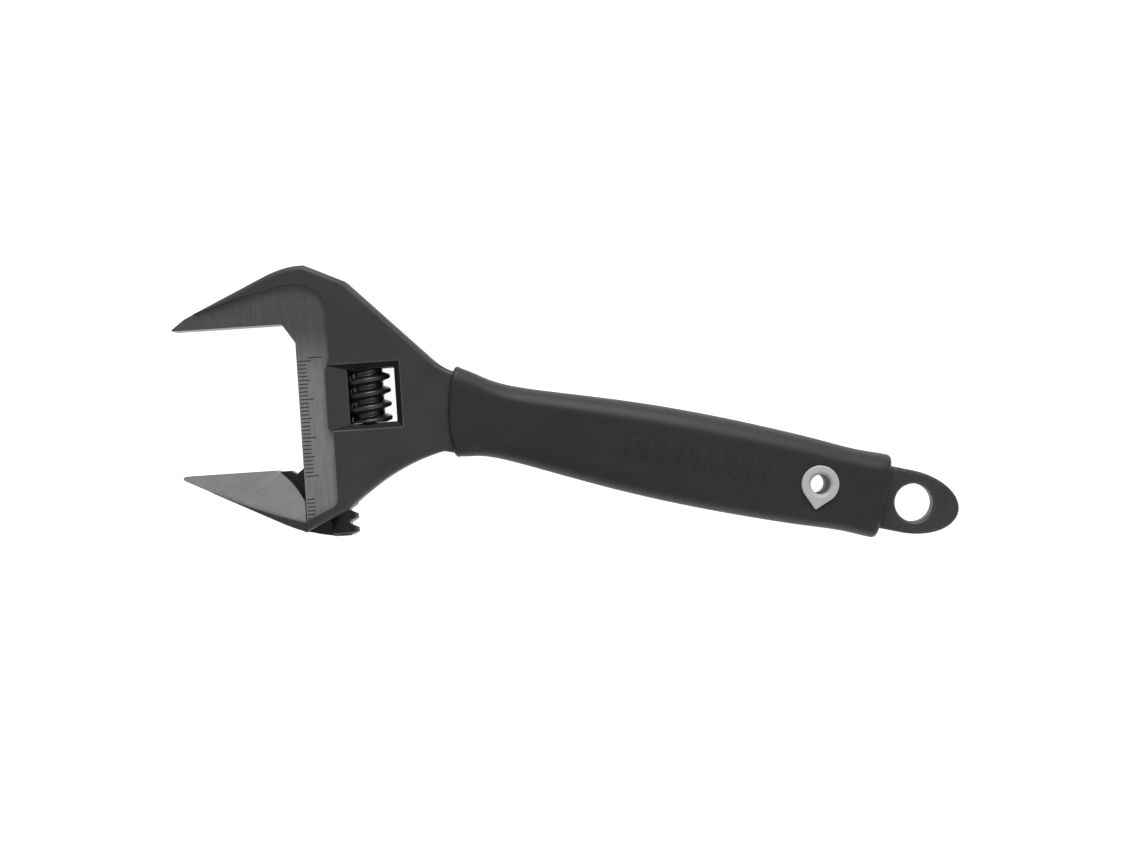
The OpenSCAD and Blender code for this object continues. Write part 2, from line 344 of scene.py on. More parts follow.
class Shader:
    """A material's node tree, with short calls to add and join nodes."""

    def __init__(self, name: str) -> None:
        """Make a material with only its output and a Principled BSDF.

        Args:
            name: Name of the material.
        """
        self.material = bpy.data.materials.new(name)
        self.material.use_nodes = True
        self.tree = self.material.node_tree
        self.tree.nodes.clear()
        self.surface = self.add("ShaderNodeBsdfPrincipled")
        out = self.add("ShaderNodeOutputMaterial")
        self.join(self.surface.outputs["BSDF"], out.inputs["Surface"])

    def add(self, kind: str, **settings: object) -> bpy.types.Node:
        """Add a node and set its properties.

        Args:
            kind: The node's type.
            settings: The node's properties.

        Returns:
            The node.
        """
        node = self.tree.nodes.new(kind)
        for key, value in settings.items():
            setattr(node, key, value)
        return node

    def join(self, source: Socket, target: Socket) -> None:
        """Link two sockets."""
        self.tree.links.new(source, target)

    def set(self, **values: object) -> None:
        """Set the Principled BSDF's own sockets; an underscore stands for a space."""
        for key, value in values.items():
            self.surface.inputs[key.replace("_", " ")].default_value = value

    def place(self, turn: float = 0.0) -> Socket:
        """Object coordinates, turned about Z.

        Args:
            turn: Turn about Z in radians.

        Returns:
            The coordinates.
        """
        where = self.add("ShaderNodeTexCoord")
        mapping = self.add("ShaderNodeMapping", vector_type="POINT")
        mapping.inputs["Rotation"].default_value = (0, 0, turn)
        self.join(where.outputs["Object"], mapping.inputs["Vector"])
        return mapping.outputs["Vector"]

    def group(self, tree: NodeTree, vector: Socket, **values: float) -> bpy.types.Node:
        """Place a shared effect with its own values.

        Args:
            tree: The node group.
            vector: Coordinates that the effect reads.
            values: Sockets and their values.

        Returns:
            The group node.
        """
        node = self.add("ShaderNodeGroup", node_tree=tree)
        self.join(vector, node.inputs["Vector"])
        for key, value in values.items():
            node.inputs[key.replace("_", " ")].default_value = value
        return node

    def blend(
        self,
        factor: Socket,
        first: Tone,
        second: Tone,
    ) -> Socket:
        """Mix two colours by a factor.

        Args:
            factor: The mask.
            first: Colour at 0.
            second: Colour at 1.

        Returns:
            The mixed colour.
        """
        mix = self.add("ShaderNodeMix", data_type="RGBA")
        self.join(factor, mix.inputs["Factor"])
        for socket, value in ((mix.inputs[6], first), (mix.inputs[7], second)):
            socket.default_value = (*value, 1)
        return mix.outputs[2]

    def spread(self, source: Socket, low: float, high: float) -> Socket:
        """Map 0..1 to low..high.

        Args:
            source: The socket that gives.
            low: Lower end.
            high: Upper end.

        Returns:
            The mapped number.
        """
        span = self.add("ShaderNodeMapRange")
        span.inputs["To Min"].default_value = low
        span.inputs["To Max"].default_value = high
        self.join(source, span.inputs["Value"])
        return span.outputs["Result"]

    def bump(self, height: Socket, strength: float, distance: float) -> None:
        """Drive the surface's normal from a height.

        Args:
            height: The relief.
            strength: Strength of the relief.
            distance: Depth of the relief in metres.
        """
        node = self.add("ShaderNodeBump")
        node.inputs["Strength"].default_value = strength
        node.inputs["Distance"].default_value = distance
        self.join(height, node.inputs["Height"])
        self.join(node.outputs["Normal"], self.surface.inputs["Normal"])


def grained(finish: "Grained", effects: "SharedEffects") -> Material:
    """Build a finish whose colour, gloss and fine relief follow the shared grain.

    Args:
        finish: Its name, tones, gloss and grain.
        effects: The shared node groups.

    Returns:
        The material.
    """
    shader = Shader(finish.name)
    scales = {"Scale": finish.grain_scale, "Patch_Scale": finish.patch_scale}
    grain = shader.group(effects.grain, shader.place(), **scales)
    mottle, surface = grain.outputs["Mottle"], shader.surface
    shader.join(shader.blend(mottle, finish.dark, finish.light), surface.inputs["Base Color"])
    shader.join(shader.spread(mottle, *finish.roughness), surface.inputs["Roughness"])
    shader.set(Metallic=finish.metallic, Specular_IOR_Level=finish.specular)
    shader.bump(grain.outputs["Height"], finish.grain_strength, finish.grain_depth)
    return shader.material


def effect_group(name: str, inputs: dict[str, float], outputs: list[str]) -> tuple[NodeTree, dict]:
    """Start a shared shader effect that takes a vector and some numbers.

    Args:
        name: Name of the node group.
        inputs: Names of its number inputs, with their defaults.
        outputs: Names of its number outputs.

    Returns:
        The node tree, and its input and output nodes under "in" and "out".
    """
    tree = bpy.data.node_groups.new(name, "ShaderNodeTree")
    tree.interface.new_socket("Vector", in_out="INPUT", socket_type="NodeSocketVector")
    for key, value in inputs.items():
        socket = tree.interface.new_socket(key, in_out="INPUT", socket_type="NodeSocketFloat")
        socket.default_value = value
    for key in outputs:
        tree.interface.new_socket(key, in_out="OUTPUT", socket_type="NodeSocketFloat")
    ends = {"in": tree.nodes.new("NodeGroupInput"), "out": tree.nodes.new("NodeGroupOutput")}
    return tree, ends


class SharedEffects:
    """Node groups that several finishes use."""

    def __init__(self) -> None:
        """Build each group once."""
        self.grain = self._grain()
        self.strokes = self._strokes()

    @staticmethod
    def _grain() -> NodeTree:
        """Fine grain with slow unevenness: Height for bump, Mottle for colour and gloss.

        Returns:
            The node group.
        """
        inputs = {"Scale": 1000.0, "Patch Scale": 60.0}
        tree, ends = effect_group("surface_grain", inputs, ["Height", "Mottle"])
        fine = tree.nodes.new("ShaderNodeTexNoise")
        fine.inputs["Detail"].default_value = 3
        slow = tree.nodes.new("ShaderNodeTexNoise")
        slow.inputs["Detail"].default_value = 5
        slow.inputs["Roughness"].default_value = 0.6
        total = tree.nodes.new("ShaderNodeMath")
        total.operation = "MULTIPLY_ADD"
        total.inputs[1].default_value = 0.35
        given, result = ends["in"].outputs, ends["out"].inputs
        for source, target in (
            (given["Vector"], fine.inputs["Vector"]),
            (given["Vector"], slow.inputs["Vector"]),
            (given["Scale"], fine.inputs["Scale"]),
            (given["Patch Scale"], slow.inputs["Scale"]),
            (slow.outputs["Fac"], total.inputs[0]),
            (fine.outputs["Fac"], total.inputs[2]),
            (total.outputs[0], result["Height"]),
            (slow.outputs["Fac"], result["Mottle"]),
        ):
            tree.links.new(source, target)
        return tree

    @staticmethod
    def _strokes() -> NodeTree:
        """Grinding strokes: noise drawn out along the vector's Y.

        Returns:
            The node group.
        """
        inputs = {"Scale": 900.0, "Stretch": 18.0}
        tree, ends = effect_group("grinding_strokes", inputs, ["Strokes"])
        axes = tree.nodes.new("ShaderNodeSeparateXYZ")
        shrink = tree.nodes.new("ShaderNodeMath")
        shrink.operation = "DIVIDE"
        joined = tree.nodes.new("ShaderNodeCombineXYZ")
        noise = tree.nodes.new("ShaderNodeTexNoise")
        noise.inputs["Detail"].default_value = 4
        noise.inputs["Roughness"].default_value = 0.65
        given = ends["in"].outputs
        for source, target in (
            (given["Vector"], axes.inputs["Vector"]),
            (axes.outputs["X"], joined.inputs["X"]),
            (axes.outputs["Y"], shrink.inputs[0]),
            (given["Stretch"], shrink.inputs[1]),
            (shrink.outputs[0], joined.inputs["Y"]),
            (axes.outputs["Z"], joined.inputs["Z"]),
            (joined.outputs["Vector"], noise.inputs["Vector"]),
            (given["Scale"], noise.inputs["Scale"]),
            (noise.outputs["Fac"], ends["out"].inputs["Strokes"]),
        ):
            tree.links.new(source, target)
        return tree


# ---------------------------------------------------------------- finishes


@dataclass(frozen=True)
class ForgedSteel:
    """Dark phosphated forging with a fine sandy grain."""

    name: str = "phosphated_forging"
    dark: Tone = (0.020, 0.020, 0.0204)
    light: Tone = (0.040, 0.040, 0.0407)
    grain_scale: float = 2600.0
    grain_depth: float = 0.00003
    roughness: tuple[float, float] = (0.42, 0.54)
    specular: float = 0.42
    patch_scale: float = 90.0
    grain_strength: float = 0.5
    metallic: float = 0.0


@dataclass(frozen=True)
class GroundSteel:
    """Ground jaw faces: fine strokes along the guide, and a tone that drifts across the head."""

    name: str
    turn: float
    dark: Tone = (0.20, 0.20, 0.202)
    light: Tone = (0.36, 0.36, 0.363)
    drift: tuple[float, float] = (0.0, 0.0)
    drift_dark: float = 0.42
    stroke_scale: float = 1500.0
    stretch: float = 14.0

    def make(self, effects: SharedEffects) -> Material:
        """Build the material.

        Args:
            effects: The shared node groups.

        Returns:
            The material.
        """
        shader = Shader(self.name)
        where = shader.place(turn=-self.turn)
        drawn = {"Scale": self.stroke_scale, "Stretch": self.stretch}
        strokes = shader.group(effects.strokes, where, **drawn).outputs["Strokes"]
        grain = shader.group(effects.grain, where, Scale=3000.0, Patch_Scale=140.0)
        tone = shader.add("ShaderNodeMath", operation="MULTIPLY_ADD")
        shader.join(grain.outputs["Mottle"], tone.inputs[0])
        tone.inputs[1].default_value = 0.8
        shader.join(shader.spread(strokes, -0.35, 0.55), tone.inputs[2])
        colour = shader.blend(tone.outputs[0], self.dark, self.light)
        if self.drift[0] != self.drift[1]:
            colour = self._drift(shader, where, colour)
        shader.join(colour, shader.surface.inputs["Base Color"])
        shader.join(shader.spread(strokes, 0.3, 0.52), shader.surface.inputs["Roughness"])
        shader.set(Metallic=0.7)
        shader.bump(strokes, 0.35, 0.00002)
        return shader.material

    def _drift(
        self, shader: Shader, where: Socket, colour: Socket
    ) -> Socket:
        """Darken the colour towards one end of the guide.

        Args:
            shader: The material being built.
            where: Turned object coordinates.
            colour: The colour so far.

        Returns:
            The darkened colour.
        """
        axes = shader.add("ShaderNodeSeparateXYZ")
        shader.join(where, axes.inputs["Vector"])
        ramp = shader.add("ShaderNodeMapRange", interpolation_type="SMOOTHSTEP")
        ramp.inputs["From Min"].default_value = self.drift[0]
        ramp.inputs["From Max"].default_value = self.drift[1]
        shader.join(axes.outputs["Y"], ramp.inputs["Value"])
        darker = shader.add("ShaderNodeMix", data_type="RGBA", blend_type="MULTIPLY")
        darker.inputs[7].default_value = (self.drift_dark, self.drift_dark, self.drift_dark, 1)
        shader.join(ramp.outputs["Result"], darker.inputs["Factor"])
        shader.join(colour, darker.inputs[6])
        return darker.outputs[2]


@dataclass(frozen=True)
class MachinedSteel:
    """Turned or cut steel, more or less blackened."""

    name: str
    dark: Tone
    light: Tone
    roughness: tuple[float, float] = (0.26, 0.42)
    metallic: float = 0.85
    grain_scale: float = 3500.0
    patch_scale: float = 260.0
    grain_depth: float = 0.00002
    grain_strength: float = 0.25
    specular: float = 0.5


@dataclass(frozen=True)
class MouldedSkin:
    """Moulded plastic or soft rubber with a fine leathery grain."""

    name: str
    dark: Tone
    light: Tone
    roughness: tuple[float, float]
    grain_scale: float = 1800.0
    grain_depth: float = 0.00004
    grain_strength: float = 0.4
    specular: float = 0.4
    patch_scale: float = 70.0
    metallic: float = 0.0


Grained = ForgedSteel | MachinedSteel | MouldedSkin


class Finishes:
    """Every material of the wrench."""

    def __init__(self, jaws: JawSpace) -> None:
        """Build the finishes once.

        Args:
            jaws: The jaws' own frame.
        """
        effects = SharedEffects()
        self.forged = grained(ForgedSteel(), effects)
        tones = ((0.014, 0.014, 0.0145), (0.045, 0.045, 0.046))
        self.rough = grained(ForgedSteel("rough_tang", *tones, 900.0, 0.0005), effects)
        # A darker, duller copy of the forging, painted shade for the sloping walls round the
        # window.
        tones = ((0.010, 0.010, 0.0102), (0.018, 0.018, 0.0183))
        self.rim_painted_shade = grained(ForgedSteel("painted_shade_window_rim", *tones, specular=0.1), effects)
        # Lighter steel on the rounded edges: partly rubbed wear, partly a painted highlight along
        # the outlines.
        edge_wear_and_highlight = MachinedSteel("edge_wear_and_painted_highlight", (0.06,) * 3, (0.11,) * 3, (0.4, 0.52), 0.3)
        self.edge_wear_and_highlight = grained(edge_wear_and_highlight, effects)
        drift = (jaws.guide_start - 15 * MM, jaws.guide_start - 1 * MM)
        self.ground = GroundSteel("ground_head", jaws.angle, drift=drift).make(effects)
        lying = jaws.angle - math.radians(62)
        plate = GroundSteel("ground_jaw", lying, (0.31, 0.31, 0.312), (0.45, 0.45, 0.453))
        self.ground_jaw = plate.make(effects)
        worm = MachinedSteel("oiled_worm", (0.045, 0.045, 0.046), (0.10, 0.10, 0.102))
        self.worm = grained(worm, effects)
        slide = MachinedSteel("blackened_slide", (0.025, 0.025, 0.0255), (0.05, 0.05, 0.051))
        self.slide = grained(slide, effects)
        self.pin = grained(MachinedSteel("turned_pin", (0.12,) * 3, (0.22,) * 3), effects)
        self.wire = grained(MachinedSteel("spring_wire", (0.35,) * 3, (0.5,) * 3), effects)
        etched = MachinedSteel("etched_marks", (0.018,) * 3, (0.03,) * 3, (0.6, 0.75), 0.0)
        self.etched = grained(etched, effects)
        tones = ((0.011, 0.011, 0.0113), (0.018, 0.018, 0.0184))
        self.rubber = grained(MouldedSkin("soft_grip_skin", *tones, (0.48, 0.58)), effects)
        core = MouldedSkin("hard_core", (0.012,) * 3, (0.018,) * 3, (0.4, 0.5))
        self.liner = grained(core, effects)
        smooth_grain = {"grain_scale": 2600.0, "grain_depth": 0.00002, "grain_strength": 0.3}
        ring = MouldedSkin("eyelet_plastic", (0.42,) * 3, (0.51,) * 3, (0.34, 0.46), **smooth_grain)
        self.eyelet = grained(ring, effects)
        # A dark copy of the eyelet plastic, painted shade for the inside wall of the bore.
        bore = MouldedSkin("eyelet_bore_painted_shade", (0.10,) * 3, (0.14,) * 3, (0.5, 0.6), **smooth_grain)
        self.bore_painted_shade = grained(bore, effects)


# ---------------------------------------------------------------- plans and prisms


def quadratic(a: Point, b: Point, c: Point, steps: int = 10) -> list[Point]:
    """Points along a quadratic curve from a to c that is drawn towards b."""
    points = []
    for k in range(steps + 1):
        t = k / steps
        shares = ((1 - t) ** 2, 2 * t * (1 - t), t * t)
        points.append(tuple(sum(w * v for w, v in zip(shares, each)) for each in zip(a, b, c)))
    return points


def distance_to(line: list[Point], x: float, y: float) -> float:
    """Shortest distance from a point to a polyline.

    Args:
        line: Corners of the line.
        x: The point's x.
        y: The point's y.

    Returns:
        The distance.
    """
    best = math.inf
    spot = Vector((x, y))
    for first, second in zip(line, line[1:]):
        a, b = Vector(first), Vector(second)
        along = clamp((spot - a).dot(b - a) / max((b - a).length_squared, 1e-9))
        best = min(best, (spot - a.lerp(b, along)).length)
    return best


def prism(outline: list[Point], low: float, high: float) -> Mesh:
    """Extrude a plan from one height to another.

    Args:
        outline: The plan's corners in order.
        low: Height of the lower face.
        high: Height of the upper face.

    Returns:
        A closed bmesh in the plan's units.
    """
    bm = bmesh.new()
    bm.faces.new([bm.verts.new((x, y, low)) for x, y in outline])
    raise_faces(bm, high - low)
    bmesh.ops.recalc_face_normals(bm, faces=bm.faces)
    return bm


def rounded_prism(name: str, outline: list[Point], half: float, radii: list[float]) -> Piece:
    """Make a prism about the middle plane whose rims are rounded edge by edge.

    Args:
        name: Name of the object.
        outline: The plan's corners in order.
        half: Half of the prism's thickness.
        radii: Rounding of the rim that starts at each corner.

    Returns:
        The object, with the rounding baked in.
    """
    bm = prism(outline, -half, half)
    widest = max(radii)
    corners = [Vector(corner) for corner in outline]
    centres = [(a + b) / 2 for a, b in zip(corners, corners[1:] + corners[:1])]
    layer = bm.edges.layers.float.new("bevel_weight_edge")
    for edge in bm.edges:
        first, second = (v.co for v in edge.verts)
        if abs(first.z - second.z) > 1e-6:
            continue
        middle = (first + second) / 2
        index = min(range(len(outline)), key=lambda k: (centres[k] - middle.to_2d()).length)
        edge[layer] = radii[index] / widest
    piece = piece_from(bm, name)
    bevel = piece.modifiers.new("rim", "BEVEL")
    bevel.width = widest
    bevel.segments = 5
    bevel.limit_method = "WEIGHT"
    bevel.use_clamp_overlap = False
    bake(piece)
    return piece


def round_bar(bm: Mesh, radius: float, length: float, sides: int) -> None:
    """Add a bar along Z, centred on the origin."""
    size = {"radius1": radius, "radius2": radius, "depth": length}
    bmesh.ops.create_cone(bm, cap_ends=True, segments=sides, **size)


def rod(name: str, x: float, low: float, high: float, radius: float, sides: int = 64) -> Piece:
    """A plain rod along the guide's direction, centred on the middle plane.

    Args:
        name: Name of the new object.
        x: Place across the guide.
        low: Lower end.
        high: Upper end.
        radius: Radius of the solid.
        sides: Number of flat sides.

    Returns:
        The rod.
    """
    bm = bmesh.new()
    round_bar(bm, radius, high - low, sides)
    bm.transform(Matrix.Translation((x, (low + high) / 2, 0)) @ ALONG_GUIDE)
    return piece_from(bm, name)


def finish_faces(piece: Piece, choose: Callable[[Vector, Vector], int]) -> None:
    """Give every face the material index that a rule picks from its middle and its normal.

    Args:
        piece: The piece.
        choose: The rule.
    """
    bm = bmesh.new()
    bm.from_mesh(piece.data)
    bm.normal_update()
    for face in bm.faces:
        face.material_index = choose(face.calc_center_median(), face.normal)
    bm.to_mesh(piece.data)
    bm.free()


# ---------------------------------------------------------------- the forging and the jaw

GROUND_LINE: list[Point] = [
    (-26.3, 4.0),
    (-12.7, 7.8),
    *quadratic((-6.0, 9.25), (0.2, 11.2), (4.6, 9.2), 5),
    *quadratic((6.9, 7.6), (8.4, 6.2), (8.5, 3.6), 4),
    (8.5, -9.8),
    (7.2, -12.9),
    (7.2, -28.0),
    (8.5, -29.1),
    *quadratic((8.5, -46.2), (8.5, -47.7), (6.9, -48.5), 4),
    (0.03, -51.5),
]


@dataclass
class ForgedFrame:
    """The forging: fixed jaw, guide, head, shank and tang, in jaw millimetres."""

    jaws: JawSpace
    head_half: float = 6.5
    ground_half: float = 4.9
    neck_half: float = 10.35
    slot_half: float = 2.35
    window: tuple[float, float, float, float] = (12.95, 25.2, -27.2, -13.0)
    rim: tuple[float, float, float] = (6.2, 1.6, 1.3)
    well: float = 6.4
    slide_bore: tuple[float, float] = (9.3, 3.9)
    pin_bore: tuple[float, float] = (17.6, 2.0)
    outline_round: float = 1.45
    tang_round: float = 1.0

    def local(self, x: float, y: float) -> Point:
        """Bring a place on the handle into the jaws' plan."""
        spot = self.jaws.matrix.inverted() @ Vector((x * MM, y * MM, 0))
        return (spot.x, spot.y)

    def _neck_side(self) -> list[Point]:
        """Lower edge of the head from the guide's end to the neck, and back to the crown.

        Returns:
            Points of the plan.
        """
        lower = quadratic((11.1, -49.3), (23.6, -38.5), self.local(-123, -10.5), 14)
        end = [self.local(-118.8, -self.neck_half), self.local(-122.3, self.neck_half)]
        shoulder = self.local(-127.5, 10.5)
        upper = quadratic(self.local(-123.5, self.neck_half), shoulder, (34.9, -11.3), 10)
        crown = quadratic((3.6, 14.9), (-1.5, 15.3), (-8, 12.24), 10)
        return [*lower, *end, *upper, (14.0, 10.0), *crown]

    def build(self, finishes: Finishes) -> Piece:
        """Join the solids, cut the openings and round what is left sharp.

        Args:
            finishes: The wrench's materials.

        Returns:
            The piece.
        """
        tip = [(-28.5, 2.95), (-31.9, 0.5), (-32.1, 0.0)]
        mouth = [(-3.3, 0.0), (0.0, -5.1), (0.0, -54.4), (7.5, -51.0)]
        plan = [*tip, *mouth, *self._neck_side()]
        core = piece_from(prism(plan, -self.ground_half, self.ground_half), "forged_frame")
        cut(core, self._raised(), Boolean.UNION)
        cut(core, self._shank(), Boolean.UNION)
        cut(core, self._tang(), Boolean.UNION)
        for cutter in self._openings():
            cut(core, cutter)
        steels = [finishes.forged, finishes.ground, finishes.rough, finishes.edge_wear_and_highlight]
        dress(core, [*steels, finishes.rim_painted_shade])
        finish_faces(core, self._finish)
        core.data.transform(self.jaws.matrix)
        smooth(core)
        # The rounded edges take the lighter steel, partly rubbed wear and partly painted highlight.
        soften(core, 0.16 * MM, segments=2, edge_wear_and_highlight=3)
        return core

    def _raised(self) -> Piece:
        """The thicker body of the head behind the ground strip, with its rims rounded.

        Returns:
            The solid.
        """
        side = [(0.0, -54.4), (7.5, -51.0), *self._neck_side()]
        outline = [*GROUND_LINE, *side]
        radii = [0.0] * len(GROUND_LINE) + [self.outline_round] * len(side)
        radii[len(GROUND_LINE)] = 0.9
        for k, (x, _) in enumerate(outline):
            if x < -4:
                radii[k] *= clamp((x + 28) / 20, 0.12, 1)
        return rounded_prism("raised_head", outline, self.head_half, radii)

    def _handle_prism(self, name: str, plan: list[Point], half: float, radius: float) -> Piece:
        """A rounded prism whose plan is given along the handle."""
        return rounded_prism(name, [self.local(*p) for p in plan], half, [radius] * len(plan))

    def _shank(self) -> Piece:
        """The bar that runs through the grip."""
        lower = [(-124, -7.5), (-112, -7.5), (-110, -7.2), (-8, -7.2)]
        plan = [*lower, *((x, -y) for x, y in reversed(lower))]
        return self._handle_prism("shank", plan, 3.2, 0.4)

    def _tang(self) -> Piece:
        """The rounded end; its hanging hole is cut later with the other openings.

        Returns:
            The solid.
        """
        steps = 40
        turns = [math.radians(-90 + 180 * k / steps) for k in range(steps + 1)]
        bow = [(-2 + 14 * math.cos(a), 8.3 * math.sin(a)) for a in turns]
        return self._handle_prism("tang", [(-12, -8.3), *bow, (-12, 8.3)], 3.25, self.tang_round)

    def _openings(self) -> list[Piece]:
        """Every cutter of the forging.

        Returns:
            The cutters.
        """
        slot = [(-3, -0.46), (0, 0.9), (9.3, 8.0), (9.3, -59.4), (-6, -59.4), (-6, -5.1)]
        left, right, low, high = self.window
        pane = [(left, low), (right, low), (right, high), (left, high)]
        cutters = [
            piece_from(prism(slot, -self.slot_half, self.slot_half), "slot_cutter"),
            piece_from(prism(pane, -20, 20), "window_cutter"),
            self._rim(1),
            self._rim(-1),
            rod("slide_bore", self.slide_bore[0], -70, 40, self.slide_bore[1], 72),
            rod("worm_well", self.pin_bore[0], low, high, self.well, 96),
            rod("pin_bore", self.pin_bore[0], -70, -7.8, self.pin_bore[1]),
            rod("pin_recess", self.pin_bore[0], -70, -41, 2.6),
            self._hole("hanging_hole", 0.0, 5.0, 20, 0.0),
            self._hole("eyelet_hole", -25.5, 3.6, 20, 0.0),
            self._hole("front_chamfer", 0.0, 5.0, 0.7, 3.25 - 0.65),
            self._hole("back_chamfer", 0.0, 5.0, -0.7, -3.25 + 0.65),
        ]
        return cutters

    def _hole(self, name: str, x: float, radius: float, depth: float, start: float) -> Piece:
        """A cutter across the handle: a rod, or with a start height a countersink.

        Args:
            name: Name of the new object.
            x: Place along the handle.
            radius: Radius of the solid.
            depth: Depth; negative cuts the back.
            start: Height where a countersink starts, or 0 for a rod.

        Returns:
            The cutter.
        """
        bm = bmesh.new()
        wide = radius if start == 0 else radius + abs(depth) * 1.15
        size = {"radius1": radius, "radius2": wide, "depth": abs(depth) * 2}
        bmesh.ops.create_cone(bm, cap_ends=True, segments=72, **size)
        if start:
            bmesh.ops.translate(bm, verts=bm.verts, vec=(0, 0, abs(depth)))
            if depth < 0:
                over = Matrix.Rotation(math.pi, 3, "X")
                bmesh.ops.rotate(bm, verts=bm.verts, cent=(0, 0, 0), matrix=over)
        spot = self.local(x, 0)
        bmesh.ops.translate(bm, verts=bm.verts, vec=(spot[0], spot[1], start))
        return piece_from(bm, name)

    def _rim(self, side: int) -> Piece:
        """The sloping rim round the window on one face.

        Args:
            side: 1 for the front face or -1 for the back.

        Returns:
            The cutter.
        """
        left, right, low, high = self.window
        near, far, deep = self.rim
        more = 2.0
        base, top = self.head_half - deep, self.head_half - deep + deep * more
        bm = bmesh.new()
        inner = [(left, low), (right, low), (right, high), (left, high)]
        outer = [
            (left - near * more, low - far * more),
            (right + far * more, low - far * more),
            (right + far * more, high + far * more),
            (left - near * more, high + far * more),
        ]
        levels = ((inner, base), (outer, top))
        rings = [[bm.verts.new((x, y, z)) for x, y in ring] for ring, z in levels]
        bm.faces.new(rings[0])
        bm.faces.new(rings[1])
        for k in range(4):
            bm.faces.new([rings[0][k], rings[0][(k + 1) % 4], rings[1][(k + 1) % 4], rings[1][k]])
        bmesh.ops.scale(bm, vec=(1, 1, side), verts=bm.verts)
        bmesh.ops.recalc_face_normals(bm, faces=bm.faces)
        return piece_from(bm, "rim_cutter")

    def _finish(self, middle: Vector, normal: Vector) -> int:
        """0 for forged, 1 for ground, 2 for the rough tang and 4, a darker copy of the forging
        painted as shade, round the window.

        Args:
            middle: The face's middle.
            normal: The face's normal.

        Returns:
            The index of the material.
        """
        if (self.jaws.matrix @ middle).x > -0.012:
            return 2
        left, right, low, high = self.window
        near, far, _ = self.rim
        # The sloping walls round the window take the painted shade.
        if left - near < middle.x < right + far and low - far < middle.y < high + far:
            if abs(normal.z) < 0.97 and abs(middle.z) < self.head_half - 0.01:
                return 4
        level = abs(abs(middle.z) - self.ground_half) < 0.05
        flat = abs(normal.z) > 0.99 and level and middle.x < 8.6
        grip = normal.y < -0.99 and abs(middle.y) < 0.1
        guide = normal.x < -0.7 and -3.5 < middle.x < 0.1 and -55 < middle.y < 0.1
        near_step = distance_to(GROUND_LINE, middle.x, middle.y) < 0.42
        step = abs(middle.z) > 4.8 and middle.x < 8.8 and near_step
        return 1 if flat or grip or guide or step else 0


